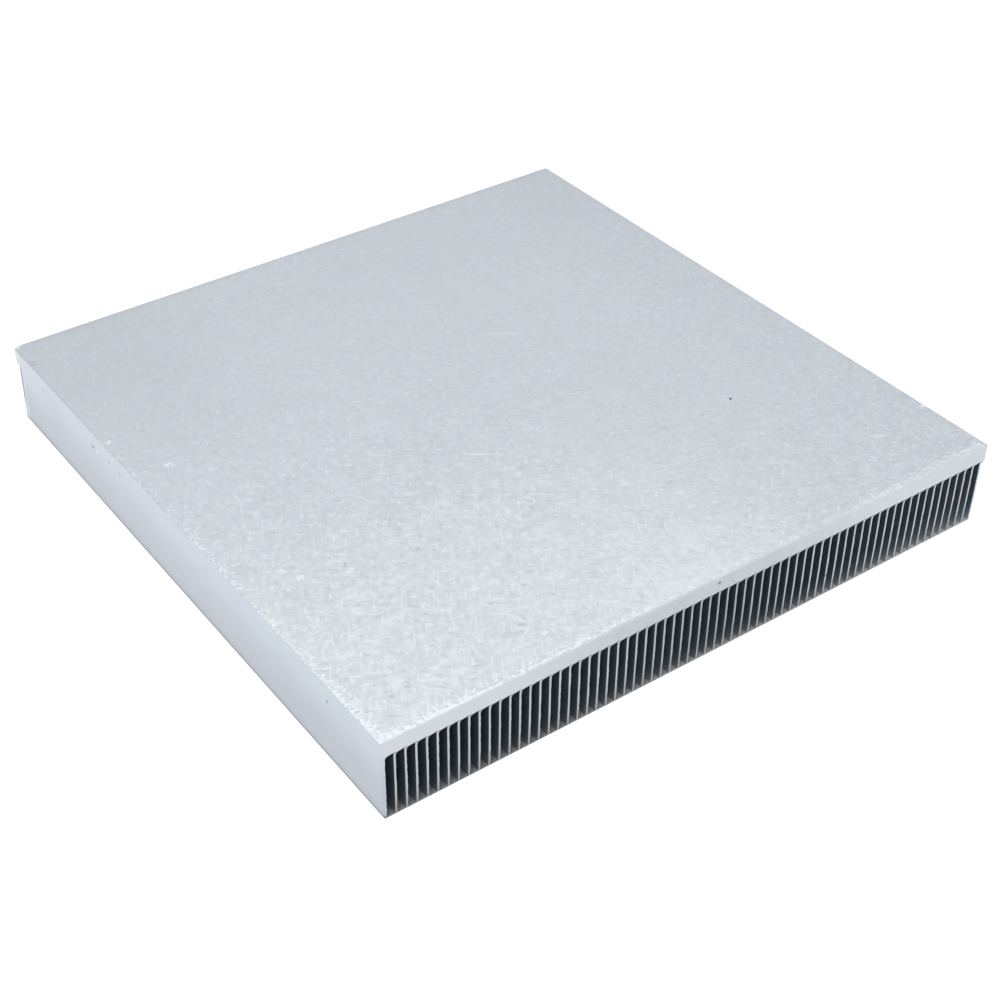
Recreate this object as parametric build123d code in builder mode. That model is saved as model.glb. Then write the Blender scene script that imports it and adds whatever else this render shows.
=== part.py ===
from build123d import *
import os

# A skived fin heat sink: one block of aluminium with its underside sliced into a comb of
# thin fins, which stay joined to the flat plate they were raised from.
# X runs across the fins, Y along them and Z up. The origin lies under the middle of the
# plate, level with the fin tips, so the part stands on its fins with its plate on top.
# All sizes are in millimetres.

# Plate
plate_width = 200.0
plate_length = 207.0
plate_thickness = 5.1
plate_edge_radius = 0.3

# Fins, measured where they leave the plate
fin_height = 19.9
fin_pitch = 2.99
fin_thickness = 0.57

# The first slice leaves a thicker wall, flush with the plate's left side. The last fin
# stands back from the right side by this much or up to one pitch more.
side_wall_thickness = 0.98
least_right_margin = 1.5

# Each fin leaves the plate upright and curls to the left towards its tip, a little more
# from one fin to the next as the slicing goes on.
first_tip_lean = 0.3
last_tip_lean = 0.75

# Between two fins the plate's underside slopes up by this much, from a round corner at
# the root of the fin on the left to a sharp one at the fin on the right.
root_radius = 0.9
underside_rise = 0.3

# The fins start flush with the front of the plate. At the rear they stop short of it, by
# more at the root than at the tip.
rear_root_setback = 2.8
rear_tip_setback = 0.7

left = -plate_width / 2
rear = plate_length / 2
height = plate_thickness + fin_height
notch_top = fin_height - underside_rise
gap_width = fin_pitch - fin_thickness
underside_slope = underside_rise / gap_width
fin_count = int((plate_width - side_wall_thickness - least_right_margin) / fin_pitch)
right_margin = plate_width - side_wall_thickness - fin_count * fin_pitch


def tip_lean(fin):
    """How far to the left of its root a fin's tip stands. The side wall is fin 0."""
    return first_tip_lean + (last_tip_lean - first_tip_lean) * fin / fin_count


def gap_outline(fin, width):
    """Outline of the gap to the right of a fin, from the sloping underside to the tips."""
    root = left + side_wall_thickness + fin * fin_pitch
    with BuildLine() as outline:
        far_height = notch_top + width * underside_slope
        underside = Line((root, notch_top), (root + width, far_height))
        mouth = Line((root + width - tip_lean(fin + 1), 0), (root - tip_lean(fin), 0))
        TangentArc(underside @ 1, mouth @ 0, tangent=(0, -1))
        TangentArc(underside @ 0, mouth @ 1, tangent=(0, -1))
        fillet(outline.vertices().sort_by_distance(underside @ 0)[0], root_radius)
    return outline.line


with BuildPart() as heat_sink:
    with BuildSketch(Plane.XZ) as comb:
        with Locations((0, height / 2)):
            Rectangle(plate_width, height)
        for fin in range(fin_count):
            make_face(gap_outline(fin, gap_width), mode=Mode.SUBTRACT)
        # Past the last fin the cut runs out of the plate's right side
        open_width = right_margin + fin_pitch + last_tip_lean
        make_face(gap_outline(fin_count, open_width), mode=Mode.SUBTRACT)
    extrude(amount=plate_length / 2, both=True)

    # Rear ends of the fins
    with BuildSketch(Plane.YZ):
        with BuildLine():
            Polyline(
                (rear - rear_root_setback, notch_top),
                (rear, notch_top),
                (rear, 0),
                (rear - rear_tip_setback, 0),
                close=True,
            )
        make_face()
    extrude(amount=plate_width, both=True, mode=Mode.SUBTRACT)

    fillet(heat_sink.faces().sort_by(Axis.Z)[-1].edges(), plate_edge_radius)

heat_sink.part.label = "heat_sink"

os.makedirs("parts", exist_ok=True)
export_step(heat_sink.part, "parts/heat_sink.step")
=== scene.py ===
import math
import bpy
import numpy as np
from mathutils import Matrix, Vector


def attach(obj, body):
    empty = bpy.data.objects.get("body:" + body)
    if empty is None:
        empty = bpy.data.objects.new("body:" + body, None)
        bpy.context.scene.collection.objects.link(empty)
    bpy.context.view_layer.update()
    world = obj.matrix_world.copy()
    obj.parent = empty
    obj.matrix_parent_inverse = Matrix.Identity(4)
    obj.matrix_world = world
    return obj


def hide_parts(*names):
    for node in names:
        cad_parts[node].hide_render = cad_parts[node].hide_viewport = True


# The skived fin heat sink as it looks: a sanded plate on a comb of raw fins, seen on white.
# Shapes are worked out in millimetres in the part's own frame and turned into metres when
# a mesh is made. X runs across the fins, Y along them and Z up.

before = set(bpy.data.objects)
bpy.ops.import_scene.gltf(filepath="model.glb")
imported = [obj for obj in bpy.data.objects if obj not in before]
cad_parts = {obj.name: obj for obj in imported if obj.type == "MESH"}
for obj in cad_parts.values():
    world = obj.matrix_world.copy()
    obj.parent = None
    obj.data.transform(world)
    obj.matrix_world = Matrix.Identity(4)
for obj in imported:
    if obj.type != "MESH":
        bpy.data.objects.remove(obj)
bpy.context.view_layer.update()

MM = 0.001

# Plate
LEFT, RIGHT = -100.0, 100.0
FRONT, REAR = -103.5, 103.5
TOP = 25.0
UNDERSIDE = 19.6
UNDERSIDE_RISE = 0.3

# Broken edge round the face: its middle radius, what two scales of noise add to it as
# (amount, size, seed), and its least radius
EDGE_RADIUS = 0.26
EDGE_NOISE = ((0.06, 2.3, 11), (0.05, 0.9, 12))
LEAST_EDGE_RADIUS = 0.1

# How far the face drops: towards its edges, in waves and at its rear left corner. Each is
# an amount and the distance over which it acts.
ROLL = (0.05, 1.2)
WAVE = (0.012, 31)
WAVE_SEED = 13
WORN_CORNER = (0.4, 2.4)

# Worn strip along the front: its width, and how much wider it gets near X = 88
STRIP_WIDTH = 1.4
STRIP_EXTRA, STRIP_MIDDLE, STRIP_SPREAD = 1.5, 88, 7
STRIP_DROP = 0.15

# Radius of the plate's upright corners: rear left, rear right, front right, front left
CORNERS = {(-1, 1): 0.9, (1, 1): 0.35, (1, -1): 0.5, (-1, -1): 0.5}

# Fins
WALL = 0.98
PITCH = 2.99
FIN = 0.57
GAP = PITCH - FIN
FIN_COUNT = 66
FIRST_LEAN, LAST_LEAN = 0.3, 0.75
UNEVEN_LEAN = 0.05
LEAN_SEED = 500
ROOT_RADIUS = 0.9
ROOT_BEND, ROOT_BEND_HEIGHT = 0.1, 1.5
ROOT_SETBACK, TIP_SETBACK = 2.8, 0.7
TIP_CHAMFER = 0.06
FIN_LEVELS = 43
FINS_PER_PIECE = 11

# Chatter marks on the fins: depth, spacing up the fin, length along it and first seed
COARSE_CHATTER = (0.02, 1.45, 34, 21)
FINE_CHATTER = (0.045, 0.8, 9, 121)
TORN_CHATTER = (0.09, 0.85, 3, 221)
BACK_CHATTER = (0.02, 2.7, 40, 321)
SHIFT_PER_FIN = 17.3

# Most marks on the face run at this angle to X, in degrees
FLECK_ANGLE = -35
ALONG_FLECKS = (0, 0, FLECK_ANGLE)

# Camera
CAMERA_TURN = (-35.0182, 37.2471, -0.4759)
CAMERA_AIM = (-0.02479317, -0.04477321, 0.025)
CAMERA_DISTANCE = 0.4884035
CAMERA_LENS = 65.652

# Ground: its size and its place just under the fin tips, in metres, and the middle and
# half-widths in millimetres of the painted shade that stands for the fins' shadow on it
GROUND_SIZE = 8
GROUND_HEIGHT = -0.00003
SHADE_MIDDLE = (-1.2, -1.5)
SHADE_HALF = (98.7, 102.0)

# Lights: name, place, target, size in metres and watts
SKY_STRENGTH = 0.74
SOFTBOXES = (
    ("overhead", (0.1, 0.1, 1.6), (0, 0, 0), 3.2, 12),
    ("front_left", (-0.7, -0.35, 0.7), (-0.05, -0.05, 0.02), 0.5, 4),
)


# Noise and meshes

def smoothed(part):
    return part * part * (3 - 2 * part)


def noise(u, v, seed):
    """Smooth noise from -1 to 1 over two coordinates, with a new value at every whole step."""
    values = np.random.default_rng(seed).uniform(-1, 1, (256, 256))
    u, v = np.broadcast_arrays(u, v)
    cell_u, cell_v = np.floor(u).astype(int), np.floor(v).astype(int)
    part_u, part_v = smoothed(u - cell_u), smoothed(v - cell_v)
    near = values[cell_u % 256, cell_v % 256] * (1 - part_v)
    near = near + values[cell_u % 256, (cell_v + 1) % 256] * part_v
    far = values[(cell_u + 1) % 256, cell_v % 256] * (1 - part_v)
    far = far + values[(cell_u + 1) % 256, (cell_v + 1) % 256] * part_v
    return near * (1 - part_u) + far * part_u


def box_quads(shape):
    """The quads on the surface of a box of lattice points, each facing outward."""
    at = np.arange(np.prod(shape)).reshape(shape)
    sheets = (
        at[:, :, -1], at[::-1, :, 0],
        at[:, 0, :], at[::-1, -1, :],
        at[-1, :, :], at[0, ::-1, :],
    )
    quads = [
        np.stack([s[:-1, :-1], s[1:, :-1], s[1:, 1:], s[:-1, 1:]], -1).reshape(-1, 4)
        for s in sheets
    ]
    return np.concatenate(quads)


def shell(x, y, z):
    """A closed shell from the lattice points of a bent box: its points and its quads."""
    x, y, z = np.broadcast_arrays(x, y, z)
    quads = box_quads(x.shape)
    used, quads = np.unique(quads, return_inverse=True)
    points = np.stack([x.ravel(), y.ravel(), z.ravel()], -1)[used]
    return points, quads.reshape(-1, 4)


def piece(name, shells, material):
    """One piece of the visual model, made of closed shells."""
    points, quads, count = [], [], 0
    for shell_points, shell_quads in shells:
        points.append(shell_points)
        quads.append(shell_quads + count)
        count += len(shell_points)
    mesh = bpy.data.meshes.new(name)
    mesh.from_pydata((np.concatenate(points) * MM).tolist(), [], np.concatenate(quads).tolist())
    mesh.polygons.foreach_set("use_smooth", [True] * len(mesh.polygons))
    mesh.set_sharp_from_angle(angle=math.radians(35))
    mesh.materials.append(material)
    obj = bpy.data.objects.new(name, mesh)
    bpy.context.collection.objects.link(obj)
    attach(obj, "root")
    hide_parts("heat_sink")


# Shapes

def rounded_corners(x, y):
    """Pulls the plate's upright corners in to their radii."""
    for (side_x, side_y), radius in CORNERS.items():
        centre_x = side_x * (RIGHT - radius)
        centre_y = side_y * (REAR - radius)
        off_x, off_y = x - centre_x, y - centre_y
        inside = (off_x * side_x > 0) & (off_y * side_y > 0)
        length = np.hypot(off_x, off_y)
        reach = np.maximum(np.abs(off_x), np.abs(off_y))
        scale = np.where(inside, reach / np.maximum(length, 1e-9), 1)
        x, y = centre_x + off_x * scale, centre_y + off_y * scale
    return x, y


def edge_steps(low, high, step, steps):
    """Positions from low to high, close together at both ends."""
    middle = np.linspace(low + steps[-1], high - steps[-1], round((high - low) / step))
    return np.unique(np.concatenate([low + steps, middle, high - steps]).round(5))


def plate_stations():
    """Where the plate's lattice lines cross X and Y. In X they follow the fin roots."""
    roots = LEFT + WALL + PITCH * np.arange(FIN_COUNT)
    across = [roots, roots + GAP / 3, roots + GAP * 2 / 3, roots + GAP]
    last_root = LEFT + WALL + PITCH * FIN_COUNT
    left_edge = LEFT + np.array([0, 0.06, 0.15, 0.3, 0.6])
    right_edge = RIGHT - np.array([0, 0.06, 0.15, 0.3, 0.6, 1.1])
    x = np.unique(np.concatenate([*across, [last_root], left_edge, right_edge]).round(5))
    ends = np.array([0, 0.06, 0.15, 0.3, 0.6, 1.0, 1.6, 2.4, 3.4])
    return x, edge_steps(FRONT, REAR, 2.0, ends)


def edge_radius(x, y):
    """The hand-broken edge round the plate's top, a little uneven and sharper to the right."""
    along = EDGE_RADIUS
    for amount, size, seed in EDGE_NOISE:
        along = along + amount * noise(x / size, y / size, seed)
    sharper = 1 - 0.5 * np.clip((x + 20) / 60, 0, 1)
    return np.maximum(along * sharper, LEAST_EDGE_RADIUS)


def front_break(x, y):
    """How far the worn strip along the front, to the right, drops below the face."""
    width = STRIP_WIDTH + STRIP_EXTRA * np.exp(-((x - STRIP_MIDDLE) / STRIP_SPREAD) ** 2)
    part = np.clip(1 - (y - FRONT) / width, 0, 1)
    ends = np.clip((x - 30) / 30, 0, 1) * np.clip((RIGHT - x) / 8, 0, 1)
    return STRIP_DROP * part**1.5 * ends


def plate_top(x, y):
    """Height of the sanded face, which rolls off towards its broken edges."""
    from_side = np.minimum(x - LEFT, RIGHT - x)
    from_end = np.minimum(y - FRONT, REAR - y)
    radius = edge_radius(x, y)
    over_x = np.maximum(radius - from_side, 0)
    over_y = np.maximum(radius - from_end, 0)
    drop = radius - np.sqrt(np.maximum(radius**2 - over_x**2 - over_y**2, 0))
    from_edge = np.minimum(from_side, from_end)
    roll = ROLL[0] * np.exp(-from_edge / ROLL[1])
    wave = WAVE[0] * (1 + noise(x / WAVE[1], y / WAVE[1], WAVE_SEED))
    from_corner = np.hypot(x - LEFT, y - REAR)
    corner = WORN_CORNER[0] * np.clip(1 - from_corner / WORN_CORNER[1], 0, 1)
    return TOP - np.minimum(drop, radius) - roll - wave - corner - front_break(x, y)


def plate_underside(x):
    """Between two fins the underside slopes up, and within a fin it comes back down."""
    along = (x - LEFT - WALL) % PITCH
    rise = np.where(along <= GAP + 1e-4, along / GAP, (PITCH - along) / FIN)
    rise = np.where(along > PITCH - 1e-4, 0, rise)
    return UNDERSIDE + UNDERSIDE_RISE * np.where(x < LEFT + WALL, 0, rise)


def plate_shell():
    across, along = plate_stations()
    x, y = np.meshgrid(across, along, indexing="ij")
    top, bottom = plate_top(x, y), plate_underside(x)
    x, y = rounded_corners(x, y)
    z = np.stack([bottom, top], -1)
    return shell(x[..., None], y[..., None], z)


def tip_lean(fin):
    """How far to the left of its root a fin's tip stands. The side wall is fin 0."""
    return FIRST_LEAN + (LAST_LEAN - FIRST_LEAN) * fin / FIN_COUNT


def fin_levels(left_limit):
    """Heights up a fin's left and right faces, and how far its right face spreads at the root.

    The last two levels lie inside the plate."""
    slope = math.atan(UNDERSIDE_RISE / GAP)
    turn = np.radians(np.array([0, 20, 40, 60, 90 - math.degrees(slope)]))
    spread = ROOT_RADIUS * (1 - np.cos(turn))
    flare_top = UNDERSIDE + spread[-1] * UNDERSIDE_RISE / GAP
    rise = ROOT_RADIUS * (np.sin(turn) - np.sin(turn[-1]))
    straight = np.linspace(0.45, flare_top + rise[0] - 0.4, FIN_LEVELS)
    right = np.concatenate([[0, 0.08], straight, flare_top + rise])
    left = np.interp(right, [right[0], right[-6], right[-1]], [0, right[-6], left_limit])
    left = np.concatenate([left, [left_limit + 0.1, left_limit + 0.4]])
    right = np.concatenate([right, [flare_top + 0.15, flare_top + 0.6]])
    spread = np.concatenate([np.zeros(FIN_LEVELS + 2), spread, [spread[-1] - 0.04, 0.1]])
    return left, right, spread


FIN_STATIONS = np.array([0, 0.12, 0.35, 0.8, 1.7, 3.5, 8, 20, 45, 80, 120, 160, 185, 197, 201.5,
                         203, 203.7, 204]) / 204


def fin_rear(z):
    """Where the fins end at the rear, further back at the tip than at the root."""
    return REAR - TIP_SETBACK - (ROOT_SETBACK - TIP_SETBACK) * z / UNDERSIDE


def chatter(marks, fin, y, z):
    """One scale of chatter marks on a fin, different from one fin to the next."""
    depth, spacing, length, seed = marks
    return depth * noise(z / spacing + fin * SHIFT_PER_FIN, y / length, seed + fin)


def skived_face(fin, y, z):
    """The chatter marks on the side of a fin that faces right, which run along the fin."""
    fade = np.clip((UNDERSIDE - 0.9 - z) / 1.5, 0, 1) * np.clip(0.35 + z / 1.5, 0, 1)
    from_end = np.minimum(y - FRONT, fin_rear(z) - y)
    torn = chatter(TORN_CHATTER, fin, y, z) * np.exp(-from_end / 1.5)
    return fade * (chatter(COARSE_CHATTER, fin, y, z) + chatter(FINE_CHATTER, fin, y, z) + torn)


def fin_shell(fin):
    """One fin, or the side wall as fin 0, with its root set into the plate."""
    rng = np.random.default_rng(LEAN_SEED + fin)
    is_wall = fin == 0
    left_limit = UNDERSIDE if is_wall else UNDERSIDE + UNDERSIDE_RISE
    left_z, right_z, spread = fin_levels(left_limit)
    root = LEFT + WALL + fin * PITCH
    lean = tip_lean(fin) + (0 if is_wall else rng.uniform(-UNEVEN_LEAN, UNEVEN_LEAN))

    steps = np.array([0, 0.06, 0.15, 0.3, 0.5, WALL]) / WALL if is_wall else np.array([0, 1.0])
    part = steps[:, None, None]
    z = left_z * (1 - part) + right_z * part
    along = FIN_STATIONS[None, :, None]
    y = FRONT + along * (fin_rear(z) - FRONT)

    from_root = np.clip(1 - right_z / right_z[-3], 0, 1)
    below = UNDERSIDE - np.minimum(right_z, UNDERSIDE)
    bend = ROOT_BEND * np.exp(-below / ROOT_BEND_HEIGHT)
    right_x = root + spread + bend - lean * from_root**2
    right_x = right_x + skived_face(fin, y[-1], right_z)
    if is_wall:
        left_x = np.full_like(right_x, LEFT)
    else:
        depth, spacing, length, seed = BACK_CHATTER
        from_root = np.clip(1 - left_z / left_limit, 0, 1)
        left_x = root - FIN + bend - lean * from_root**2
        left_x = left_x + depth * noise(left_z / spacing, y[0] / length, seed + fin)
    x = left_x * (1 - part) + right_x * part

    # The last two levels are drawn in a little, so that they stay hidden in the plate
    hidden = np.array([0.0] * (len(left_z) - 2) + [0.03, 0.06])
    x = x + hidden * (1 - 2 * part)
    y = y + hidden * (1 - 2 * along)
    if is_wall:
        x, y = rounded_corners(*np.broadcast_arrays(x, y))

    # Small chamfer round the tip
    tip = np.array([TIP_CHAMFER] + [0.0] * (len(left_z) - 1))
    x = x + tip * (1 - 2 * part)
    return shell(x, y, z)


# Materials

class Graph:
    """A material's nodes, with short ways to add to them. Coordinates are in millimetres."""

    def __init__(self, name):
        self.material = bpy.data.materials.new(name)
        self.material.use_nodes = True
        self.nodes = self.material.node_tree.nodes
        self.links = self.material.node_tree.links
        self.shader = self.nodes["Principled BSDF"]
        place = self.nodes.new("ShaderNodeTexCoord").outputs["Object"]
        scale = self.nodes.new("ShaderNodeVectorMath")
        scale.operation = "SCALE"
        scale.inputs["Scale"].default_value = 1 / MM
        self.links.new(place, scale.inputs[0])
        self.place = scale.outputs[0]
        split = self.nodes.new("ShaderNodeSeparateXYZ")
        self.links.new(self.place, split.inputs[0])
        self.x, self.y, self.z = split.outputs

    def put(self, socket, value):
        if isinstance(value, bpy.types.NodeSocket):
            self.links.new(value, socket)
        else:
            socket.default_value = value

    def math(self, operation, *values):
        node = self.nodes.new("ShaderNodeMath")
        node.operation = operation
        for socket, value in zip(node.inputs, values):
            self.put(socket, value)
        return node.outputs[0]

    def total(self, *values):
        result = values[0]
        for value in values[1:]:
            result = self.math("ADD", result, value)
        return result

    def times(self, first, second):
        return self.math("MULTIPLY", first, second)

    def minus(self, first, second):
        return self.math("SUBTRACT", first, second)

    def about(self, value, middle, gain):
        """How far a value lies from its middle, times a gain."""
        return self.times(self.minus(value, middle), gain)

    def blend(self, factor, first, second):
        """Two values mixed by a factor."""
        other = self.minus(1, factor)
        return self.total(self.times(first, other), self.times(second, factor))

    def ramp(self, value, low, high, to_low=0.0, to_high=1.0):
        """A smooth step from to_low to to_high as value goes from low to high."""
        node = self.nodes.new("ShaderNodeMapRange")
        node.interpolation_type = "SMOOTHSTEP"
        for socket, given in zip(node.inputs, (value, low, high, to_low, to_high)):
            self.put(socket, given)
        return node.outputs[0]

    def noise(self, size, detail=2.0, place=None):
        """Noise from about 0 to 1 whose largest features have that size."""
        node = self.nodes.new("ShaderNodeTexNoise")
        self.put(node.inputs["Vector"], place or self.place)
        self.put(node.inputs["Scale"], 1 / size)
        self.put(node.inputs["Detail"], detail)
        return node.outputs[0]

    def turned(self, centre=(0, 0, 0), turn=(0, 0, 0), size=(1, 1, 1)):
        """Coordinates about a centre, turned by degrees and divided by a size along each axis."""
        node = self.nodes.new("ShaderNodeMapping")
        node.vector_type = "TEXTURE"
        self.put(node.inputs["Vector"], self.place)
        self.put(node.inputs["Location"], centre)
        self.put(node.inputs["Rotation"], tuple(math.radians(a) for a in turn))
        self.put(node.inputs["Scale"], size)
        return node.outputs[0]

    def strokes(self, angle, length, width):
        """Short marks at one angle on the plate's face."""
        return self.noise(1, 0, self.turned(turn=(0, 0, angle), size=(length, width, width)))

    def blob(self, centre, size, turn=(0, 0, 0)):
        """1 at the middle of a spot, a scratch or a nick, falling to 0 at its outline."""
        node = self.nodes.new("ShaderNodeTexGradient")
        node.gradient_type = "SPHERICAL"
        self.put(node.inputs[0], self.turned(centre, turn, size))
        return node.outputs[0]

    def mix(self, factor, first, second):
        """Two colours mixed by a factor."""
        node = self.nodes.new("ShaderNodeMix")
        node.data_type = "RGBA"
        self.put(node.inputs[0], factor)
        for socket, colour in ((node.inputs[6], first), (node.inputs[7], second)):
            self.put(socket, colour if isinstance(colour, bpy.types.NodeSocket) else (*colour, 1))
        return node.outputs[2]

    def marked(self, colour, marks, paint, full, strength, turn=(0, 0, 0)):
        """A colour with marks on it, painted in full where a mark's blob is above that value."""
        for centre, size in marks:
            mark = self.ramp(self.blob(centre, size, turn), 0, full, 0, strength)
            colour = self.mix(mark, colour, paint)
        return colour

    def finish(self, colour, roughness, height, depth):
        """Sets the metal's colour, its roughness and its relief in millimetres."""
        bump = self.nodes.new("ShaderNodeBump")
        bump.inputs["Distance"].default_value = depth * MM
        self.put(bump.inputs["Height"], height)
        self.put(self.shader.inputs["Base Color"], colour)
        self.put(self.shader.inputs["Metallic"], 1.0)
        self.put(self.shader.inputs["Roughness"], roughness)
        self.put(self.shader.inputs["Normal"], bump.outputs[0])
        return self.material


DARK_METAL = (0.55, 0.593, 0.64)
LIGHT_METAL = (0.77, 0.83, 0.893)
DARK_GREENISH_METAL = (0.55, 0.598, 0.616)
LIGHT_GREENISH_METAL = (0.77, 0.837, 0.86)
# Bright metal for marks that catch the light: the rim, the bright flecks, the scratches and a
# wall speck, painted brighter as highlights and glints
BRIGHT_METAL = (0.88, 0.94, 0.98)
# Lighter metal: real wear on the worn front strip, painted light towards the top of the plate's
# sides, and a lighter rear end of the left side
WORN_AND_LIT_METAL = (0.672, 0.716, 0.75)
SAWN_METAL = (0.512, 0.547, 0.574)
LEFT_SAWN_METAL = (0.606, 0.648, 0.681)
RIGHT_SAWN_METAL = (0.632, 0.672, 0.702)
CORNER_METAL = (0.625, 0.655, 0.685)
DRAWN_METAL = (0.466, 0.510, 0.564)
LIGHT_DRAWN_METAL = (0.604, 0.661, 0.727)
CUT_METAL = (0.495, 0.535, 0.57)
DARK_CUT_METAL = (0.29, 0.315, 0.335)
EDGE_METAL = (0.48, 0.62, 0.70)
# Dull metal: the darker end of the fins' tone, dark flecks on the face and painted shade at the
# wall's foot; light dull metal is the fins' lighter end
DULL_METAL = (0.38, 0.43, 0.475)
LIGHT_DULL_METAL = (0.63, 0.69, 0.745)
# Dark colour for real specks, dirt and nicks, and for the painted shade of the wall's contact
# line
DIRT_AND_SHADE = (0.09, 0.09, 0.10)

WHITE = (1, 1, 1)
BLACK = (0, 0, 0)
# Ground: a dark base under the white glow outside the part, a grey painted shade under the part,
# darker to the left, and a faint painted glow in it to the right
DARK_GROUND_BASE = (0.08, 0.08, 0.08)
SHADE_GLOW = (0.1, 0.1, 0.1)
LEFT_PAINTED_SHADE = (0.28, 0.29, 0.3)
RIGHT_PAINTED_SHADE = (0.41, 0.42, 0.43)

DRAWN_ROUGHNESS = 0.38

# Depth of each surface's relief
SANDED_RELIEF = 0.015
DRAWN_RELIEF = 0.004
SKIVED_RELIEF = 0.02

# Where the face ends and the sides begin: X at the left side, and Z all round
LEFT_SIDE = (-99.9, -99.2)
FACE_EDGE = (24.42, 24.68)

# Marks: centre and radii. Those on the face are turned by FLECK_ANGLE.
WALL_SPECKS = (
    ((-100, 49.4, 19.5), (0.6, 1.0, 0.5)),
    ((-100, 38.9, 19.9), (0.6, 0.5, 0.35)),
    ((-100, -79.6, 19.5), (0.6, 0.45, 0.55)),
)
FAINT_WALL_SPECKS = (
    ((-100, 32.2, 20.0), (0.6, 1.2, 0.9)),
    ((-100, 73.1, 19.6), (0.6, 1.4, 0.8)),
    ((-100, 83.7, 20.2), (0.6, 1.4, 0.8)),
)
# A bright speck on the wall, a real mark painted bright as a glint
BRIGHT_WALL_SPECKS = (((-100, 46.8, 19.4), (0.6, 0.7, 0.5)),)
PLATE_SPECKS = (
    ((57.0, -44.3, 25), (0.5, 1.0, 0.8)),
    ((2.0, -103.5, 22.8), (0.8, 0.7, 0.45)),
)
DARK_FLECKS = (
    ((-98.9, 92.4, 25), (1.5, 0.7, 1)),
    ((-98.7, 90.6, 25), (1.8, 0.7, 1)),
    ((-89.3, -92.0, 25), (0.7, 1.0, 1)),
    ((-84.2, -37.1, 25), (1.0, 1.1, 1)),
    ((-72.9, -44.0, 25), (0.7, 1.4, 1)),
    ((71.2, -83.2, 25), (0.6, 0.7, 1)),
    ((98.5, -98.6, 25), (0.9, 0.6, 1)),
    ((98.9, -101.0, 25), (1.3, 0.5, 1)),
    ((99.3, -103.2, 25), (0.6, 0.6, 1)),
)
# Bright flecks on the face: real marks painted bright as glints
BRIGHT_FLECKS = (
    ((-98.4, 41.3, 25), (1.0, 1.3, 1)),
    ((-89.5, 21.8, 25), (1.7, 1.3, 1)),
    ((-87.3, -36.8, 25), (1.7, 1.2, 1)),
    ((-84.7, -41.7, 25), (1.4, 1.7, 1)),
    ((-78.6, -91.0, 25), (1.1, 0.8, 1)),
    ((-72.9, -46.5, 25), (1.3, 1.4, 1)),
    ((-68.3, -76.0, 25), (1.3, 1.0, 1)),
    ((-57.6, -63.3, 25), (0.9, 1.0, 1)),
    ((-50.7, -71.7, 25), (1.0, 1.0, 1)),
    ((-46.9, -94.8, 25), (1.2, 1.2, 1)),
    ((-26.0, -49.9, 25), (1.2, 1.5, 1)),
    ((-21.4, -48.8, 25), (1.0, 0.9, 1)),
    ((-17.6, -50.8, 25), (0.7, 0.8, 1)),
    ((89.3, -53.9, 25), (0.9, 0.8, 1)),
    ((99.2, -79.2, 25), (0.8, 1.0, 1)),
    ((98.9, -99.6, 25), (0.6, 0.6, 1)),
    ((98.2, -101.8, 25), (0.7, 0.6, 1)),
    ((98.6, -102.8, 25), (0.8, 0.5, 1)),
    ((-100, 103.5, 25), (3.0, 3.0, 2)),
)
# Scratches on the face, painted bright as glints
SCRATCHES = (
    ((24.8, 22.7, 25), (8, 0.7, 1)),
    ((-17.3, -24.2, 25), (6, 0.7, 1)),
    ((78.4, -82.5, 25), (3.5, 0.8, 1)),
)
FIN_NICKS = (((40.9, -103.5, 6.4), (0.8, 0.6, 0.45)),)


def sanded_plate():
    """The plate: a face sanded in short crossing strokes, with smooth sawn sides."""
    g = Graph("sanded_plate")
    light = sanding(g)
    # The face and its greenish tint run from dark to light metal with the sanding marks, the
    # painted glints and the painted light and shade
    face = g.mix(light, DARK_METAL, LIGHT_METAL)
    greenish = g.mix(light, DARK_GREENISH_METAL, LIGHT_GREENISH_METAL)
    front_left = g.times(g.ramp(g.y, 10, -95, 0, 0.75), g.ramp(g.x, 10, 80, 1, 0))
    green = g.total(front_left, g.ramp(g.noise(6, 1), 0.38, 0.66, -0.15, 0.3))
    face = g.mix(green, face, greenish)

    face = g.mix(front_strip(g), face, WORN_AND_LIT_METAL)
    rim, flaws = plate_rim(g)
    face = g.mix(flaws, face, DARK_METAL)
    # Bright rim: burnished wear along the broken edges, with painted highlight where they catch
    # the light
    face = g.mix(rim, face, BRIGHT_METAL)
    face = face_marks(g, face)
    face = g.mix(front_edge(g), face, DARK_METAL)

    on_left = g.ramp(g.x, *LEFT_SIDE, 1, 0)
    on_face = g.ramp(g.minus(g.z, g.times(on_left, 0.1)), *FACE_EDGE)
    drawn, lines = drawn_side(g)
    sides = g.mix(on_left, sawn_sides(g), drawn)
    colour = g.mix(on_face, sides, face)
    colour = g.marked(colour, PLATE_SPECKS, DIRT_AND_SHADE, 0.6, 0.85, ALONG_FLECKS)
    smooth = g.times(on_left, g.minus(1, on_face))
    roughness = g.blend(smooth, g.ramp(light, 0.2, 0.9, 0.5, 0.38), DRAWN_ROUGHNESS)
    relief = g.times(g.total(light, rim), on_face)
    relief = g.total(relief, g.times(smooth, g.times(lines, DRAWN_RELIEF / SANDED_RELIEF)))
    return g.finish(colour, roughness, relief, SANDED_RELIEF)


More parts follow.
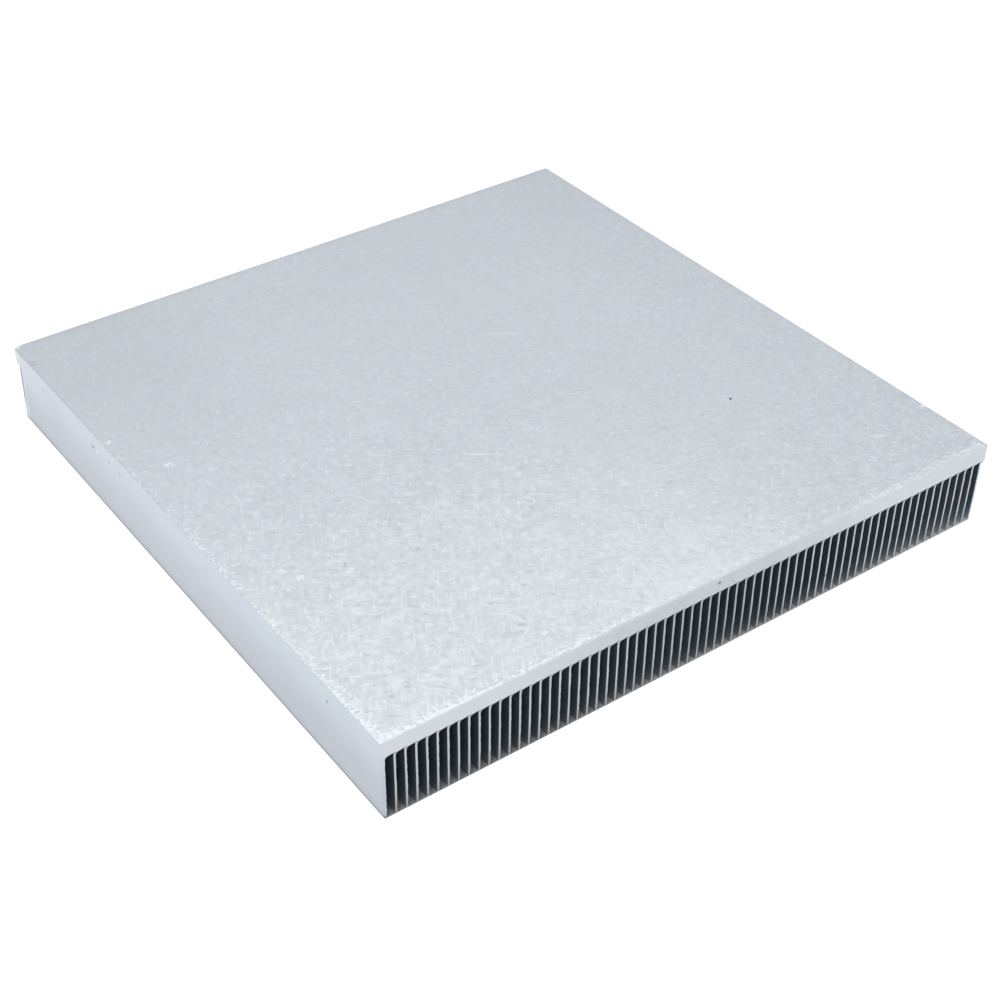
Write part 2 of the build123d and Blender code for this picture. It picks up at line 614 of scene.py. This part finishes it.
def sanding(g):
    """How light the face is: strokes that cross, coarser and stronger towards the front, with
    painted glints and the painted light and shade of the whole face.
    """
    to_right = g.total(g.ramp(g.y, -110, -30, 0.44, 0.25), g.ramp(g.y, 20, 90, 0, -0.1))
    contrast = g.blend(g.ramp(g.x, -30, 40), g.ramp(g.y, -95, 90, 0.53, 0.14), to_right)
    contrast = g.total(contrast, g.times(g.blob((-12, 100, 25), (50, 30, 30)), 0.15))
    patches = g.noise(9, 2)
    mottle = g.noise(2.5, 1)
    turn = g.ramp(g.noise(3.2, 1), 0.4, 0.54)
    upright = g.blend(g.ramp(g.x, -60, 80), g.strokes(64, 3.6, 1.2), g.strokes(42, 3.6, 1.2))
    strokes = g.blend(turn, g.strokes(FLECK_ANGLE, 2.9, 1.6), upright)
    marks = g.total(
        g.about(patches, 0.5, 0.9),
        g.about(mottle, 0.5, 1.1),
        g.about(strokes, 0.5, 1.2),
    )
    dashes = g.total(
        g.ramp(g.strokes(FLECK_ANGLE, 2.9, 1.4), 0.64, 0.76, 0, 0.65),
        g.ramp(g.strokes(57, 3.2, 1.0), 0.64, 0.76, 0, 0.65),
        g.ramp(g.strokes(FLECK_ANGLE - 1, 2.7, 1.4), 0.33, 0.22, 0, -0.55),
    )
    # Painted glints: bright points painted into the face's tone
    glints = g.ramp(g.noise(1.1, 0), 0.74, 0.82, 0, 0.9)
    marks = g.times(g.total(marks, dashes, glints), contrast)
    # Adds the painted light and shade of the whole face
    return g.total(marks, painted_face_light(g), 0.44)


def painted_face_light(g):
    """Painted light and shade on the face as a whole: lighter at the front and the front middle,
    darker to the rear left, the rear and the right.
    """
    front = g.times(g.ramp(g.y, 0, -80, 0, 0.22), g.ramp(g.x, -10, 60, 1, 0))
    middle = g.times(g.blob((0, -97, 25), (36, 26, 30)), 0.18)
    rear_left = g.times(g.ramp(g.x, -30, -80, 0, -0.16), g.ramp(g.y, 0, 50))
    rear = g.total(g.ramp(g.y, 40, 85, 0, -0.07), g.ramp(g.y, 99.5, 102.5, 0, -0.1))
    return g.total(front, middle, rear_left, rear, g.ramp(g.x, 60, 95, 0, -0.1))


def face_marks(g, colour):
    """The marks on the face that stand out one by one. The bright flecks and scratches are real
    marks painted bright as glints.
    """
    grain = g.ramp(g.strokes(FLECK_ANGLE, 1.1, 0.7), 0.35, 0.6, 0.25, 1)
    colour = g.marked(colour, DARK_FLECKS, DULL_METAL, 0.6, 0.4, ALONG_FLECKS)
    for centre, size in BRIGHT_FLECKS:
        fleck = g.times(g.ramp(g.blob(centre, size, ALONG_FLECKS), 0, 0.5, 0, 0.85), grain)
        colour = g.mix(fleck, colour, BRIGHT_METAL)
    return g.marked(colour, SCRATCHES, BRIGHT_METAL, 0.5, 0.4, ALONG_FLECKS)


def front_strip(g):
    """The smooth strip worn along the front, to the right, where the face rounds over."""
    width = g.total(1.0, g.ramp(g.x, 74, 88, 0, 1.2), g.ramp(g.x, 90, 99, 0, -0.9))
    edge = g.total(width, g.about(g.noise(4, 2), 0.5, 2.5))
    inside = g.ramp(g.minus(edge, g.minus(g.y, FRONT)), 0, 0.4)
    return g.times(inside, g.ramp(g.x, 25, 50))


def front_edge(g):
    """The darker line where the face meets the plate's front, strongest in the middle."""
    strength = g.total(g.ramp(g.x, -65, -20, 0.1, 0.5), g.ramp(g.x, 35, 60, 0, -0.35))
    edge = g.times(g.ramp(g.y, FRONT + 0.1, FRONT + 0.4, 1, 0), strength)
    return g.times(g.ramp(g.z, 24.6, 24.8), edge)


def plate_rim(g):
    """Bright flecks and dark flaws left along the edges where they were broken by hand, and
    darker bands along the rear part of the left edge and most of the right edge. The bright
    flecks are burnished wear with painted highlight where the broken edges catch the light,
    brightest to the left.
    """
    flecks = g.noise(1.05, 2.5)
    from_front = g.minus(g.y, FRONT)
    from_left = g.minus(g.x, LEFT)
    from_right = g.minus(RIGHT, g.x)
    start = g.total(g.ramp(g.y, -100, -60, 0.33, 0.47), g.ramp(g.y, -10, 12, 0, 0.05))
    start = g.total(start, g.ramp(g.y, 44, 56, 0, 0.2))
    left = g.total(g.times(from_left, 0.07), start)
    inset = g.math("ABSOLUTE", g.minus(from_front, g.ramp(g.x, -70, -20, 0, 1.2)))
    front = g.total(g.times(inset, 0.08), g.ramp(g.x, -110, 50, 0.31, 0.6))
    right = g.total(g.times(from_right, 0.1), g.ramp(g.y, -100, -60, 0.54, 0.68))
    burr = g.math("ABSOLUTE", g.minus(from_front, g.ramp(g.x, 60, 85, 0.9, 2.2)))
    ridge = g.total(g.times(burr, 0.1), g.ramp(g.x, 30, 60, 0.68, 0.4))

    # Noise above this value shows as a fleck, so flecks are thickest at the edges
    need = g.math("MINIMUM", g.math("MINIMUM", left, front), g.math("MINIMUM", right, ridge))
    rim = g.ramp(g.minus(flecks, need), -0.04, 0.18, 0, 0.85)
    # Painted highlight: the rim is brightest to the left
    rim = g.times(rim, g.ramp(g.x, -10, 50, 1, 0.55))
    flaws = g.ramp(g.minus(g.noise(1.1, 3), need), 0.02, 0.09, 0, 0.3)
    left_edge = g.times(g.ramp(from_left, 0.3, 0.9, 0.6, 0), g.ramp(g.y, -30, 15))
    right_edge = g.times(g.ramp(from_right, 0.1, 0.5, 0.8, 0), g.ramp(g.y, -80, -30))
    return rim, g.math("MAXIMUM", flaws, g.total(left_edge, right_edge))


def sawn_sides(g):
    """The plate's front, rear and right, with painted light: lighter towards both ends of the
    front and towards the top.
    """
    cloud = g.ramp(g.noise(5, 3), 0.35, 0.65, 0, 0.25)
    # Painted light: lighter towards both ends of the front
    sides = g.mix(g.ramp(g.x, -70, -20, 1, 0), SAWN_METAL, LEFT_SAWN_METAL)
    sides = g.mix(g.ramp(g.x, 5, 70), sides, RIGHT_SAWN_METAL)
    sides = g.mix(g.ramp(g.x, 85, 97), sides, CORNER_METAL)
    # Painted light: lighter towards the top
    sides = g.mix(g.ramp(g.z, 23.0, 24.5, 0, 0.16), sides, WORN_AND_LIT_METAL)
    return g.mix(cloud, sides, LEFT_SAWN_METAL)


def drawn_side(g):
    """The smooth left side, shared by plate and wall: its colour and its faint lines. Its colour
    is painted lighter towards the top, darker to the front low down and lighter to the rear high
    up, as painted light and shade.
    """
    lines = g.noise(1, 3, g.turned(size=(3, 60, 0.8)))
    cloud = g.noise(14, 2)
    front = g.times(g.ramp(g.y, -80, -15, -0.15, 0), g.ramp(g.z, 12, 22, 1, 0.25))
    rear = g.times(g.ramp(g.y, 75, 95), g.ramp(g.z, 10, 16, 0, 0.12))
    # Painted light and shade: lighter towards the top, darker to the front and lighter to the
    # rear, over the lines and cloud
    light = g.total(
        g.about(lines, 0.5, 0.18),
        g.about(cloud, 0.5, 0.25),
        g.ramp(g.z, 0, 32),
        front,
        rear,
    )
    colour = g.mix(light, DRAWN_METAL, LIGHT_DRAWN_METAL)
    colour = g.mix(g.ramp(g.z, 24.0, 24.6, 0, 0.3), colour, DRAWN_METAL)
    colour = g.mix(g.ramp(g.y, 98, 102, 0, 0.8), colour, WORN_AND_LIT_METAL)
    colour = g.marked(colour, WALL_SPECKS, DIRT_AND_SHADE, 0.4, 0.8)
    colour = g.marked(colour, FAINT_WALL_SPECKS, DIRT_AND_SHADE, 0.8, 0.25)
    return g.marked(colour, BRIGHT_WALL_SPECKS, BRIGHT_METAL, 0.6, 1), lines


def smooth_wall():
    """The side wall: the smooth left side carried down to a foot painted darker with shade, a
    dark painted contact line at the very bottom, and a darker rear end.
    """
    g = Graph("smooth_wall")
    colour, lines = drawn_side(g)
    # Painted shade: darker towards the foot, and a dark contact line at the very bottom
    colour = g.mix(g.ramp(g.z, 0.4, 4.0, 0.55, 0), colour, DULL_METAL)
    colour = g.mix(g.ramp(g.z, 0.35, 1.0, 0.7, 0), colour, DIRT_AND_SHADE)
    slope = (ROOT_SETBACK - TIP_SETBACK) / UNDERSIDE
    from_rear = g.minus(REAR - TIP_SETBACK, g.total(g.y, g.times(g.z, slope)))
    rear = g.times(g.ramp(from_rear, 0.5, 1.3, 0.75, 0), g.ramp(g.z, 3, 9))
    colour = g.mix(rear, colour, DIRT_AND_SHADE)
    roughness = g.total(g.about(lines, 0.5, 0.06), DRAWN_ROUGHNESS)
    return g.finish(colour, roughness, lines, DRAWN_RELIEF)


def skived_fins():
    """The fins: dull skived faces with lines along each fin, painted lighter towards the right
    and darker low down at the right as painted light and shade, and cut front ends.
    """
    g = Graph("skived_fins")
    lines = g.noise(1, 3, g.turned(size=(3, 40, 0.5)))
    cloud = g.noise(5, 2)
    # Painted light and shade: the fin faces lighter towards the right, and at the right darker
    # low down
    light = g.total(g.about(lines, 0.5, 0.5), g.about(cloud, 0.5, 0.3), g.ramp(g.x, -110, 110))
    height = g.times(g.ramp(g.z, 2, 16, -0.3, 0.1), g.ramp(g.x, 0, 80))
    faces = g.mix(g.total(light, height), DULL_METAL, LIGHT_DULL_METAL)

    # The front ends are darker towards the tips, most of all in the torn middle
    torn = g.times(g.blob((4, FRONT, 2), (34, 9, 44)), 0.75)
    low = g.total(g.ramp(g.z, -3, 16, 0.45, 0), g.ramp(g.z, 0, 6.5, 0.55, 0), torn)
    ends = g.mix(low, CUT_METAL, DARK_CUT_METAL)
    ends = g.mix(g.ramp(g.x, 95.6, 95.9), ends, EDGE_METAL)
    on_end = g.ramp(g.y, FRONT + 0.02, FRONT + 0.1, 1, 0)
    colour = g.mix(on_end, faces, ends)
    colour = g.marked(colour, FIN_NICKS, DIRT_AND_SHADE, 0.6, 0.8)
    roughness = g.ramp(light, 0.1, 0.9, 0.42, 0.30)
    return g.finish(colour, roughness, lines, SKIVED_RELIEF)


def white_paper():
    """The bright white ground, glowing evenly, and a painted shade under the part: a grey patch,
    darker to the left, with a faint painted glow to the right.
    """
    g = Graph("white_paper")
    across = g.math("COMPARE", g.x, SHADE_MIDDLE[0], SHADE_HALF[0])
    along = g.math("COMPARE", g.y, SHADE_MIDDLE[1], SHADE_HALF[1])
    under = g.times(across, along)
    # Painted shade under the part, darker to the left, with a faint painted glow to the right
    painted_shade = g.mix(g.ramp(g.x, -60, 0), LEFT_PAINTED_SHADE, RIGHT_PAINTED_SHADE)
    glow = g.mix(g.ramp(g.x, 20, 95), BLACK, SHADE_GLOW)
    g.put(g.shader.inputs["Base Color"], g.mix(under, DARK_GROUND_BASE, painted_shade))
    g.put(g.shader.inputs["Emission Color"], g.mix(under, WHITE, glow))
    g.put(g.shader.inputs["Emission Strength"], 1.0)
    g.put(g.shader.inputs["Roughness"], 1.0)
    g.put(g.shader.inputs["Specular IOR Level"], 0.0)
    return g.material


# Setting

def ground():
    bpy.ops.mesh.primitive_plane_add(size=GROUND_SIZE, location=(0, 0, GROUND_HEIGHT))
    obj = bpy.context.object
    obj.name = "ground"
    obj.data.materials.append(white_paper())


def sky(strength):
    world = bpy.data.worlds.new("sky")
    world.use_nodes = True
    bpy.context.scene.world = world
    background = world.node_tree.nodes["Background"]
    background.inputs["Color"].default_value = (*WHITE, 1)
    background.inputs["Strength"].default_value = strength


def softbox(name, place, target, size, watts):
    data = bpy.data.lights.new(name, "AREA")
    data.shape = "SQUARE"
    data.size = size
    data.energy = watts
    obj = bpy.data.objects.new(name, data)
    obj.location = place
    obj.rotation_mode = "QUATERNION"
    obj.rotation_quaternion = (Vector(target) - Vector(place)).to_track_quat("-Z", "Y")
    bpy.context.collection.objects.link(obj)


def camera():
    """The photo's view, from the front left and above, turned a little about its own axis."""
    azimuth, elevation, roll = (math.radians(a) for a in CAMERA_TURN)
    back = Vector((
        math.sin(azimuth) * math.cos(elevation),
        -math.cos(azimuth) * math.cos(elevation),
        math.sin(elevation),
    ))
    level = Vector((math.cos(azimuth), math.sin(azimuth), 0))
    above = back.cross(level)
    right = level * math.cos(roll) + above * math.sin(roll)
    up = above * math.cos(roll) - level * math.sin(roll)
    data = bpy.data.cameras.new("camera")
    data.lens = CAMERA_LENS
    data.clip_start = 0.01
    obj = bpy.data.objects.new("camera", data)
    turn = Matrix((right, up, back)).transposed().to_4x4()
    obj.matrix_world = Matrix.Translation(Vector(CAMERA_AIM) + back * CAMERA_DISTANCE) @ turn
    bpy.context.collection.objects.link(obj)
    bpy.context.scene.camera = obj


def build_heat_sink():
    piece("plate", [plate_shell()], sanded_plate())
    piece("side_wall", [fin_shell(0)], smooth_wall())
    fins = skived_fins()
    for first in range(1, FIN_COUNT + 1, FINS_PER_PIECE):
        numbers = range(first, min(first + FINS_PER_PIECE, FIN_COUNT + 1))
        piece(f"fins_{first:02d}", [fin_shell(fin) for fin in numbers], fins)


def build_setting():
    ground()
    sky(SKY_STRENGTH)
    for box in SOFTBOXES:
        softbox(*box)
    camera()
    bpy.context.scene.view_settings.view_transform = "Standard"


build_heat_sink()
build_setting()
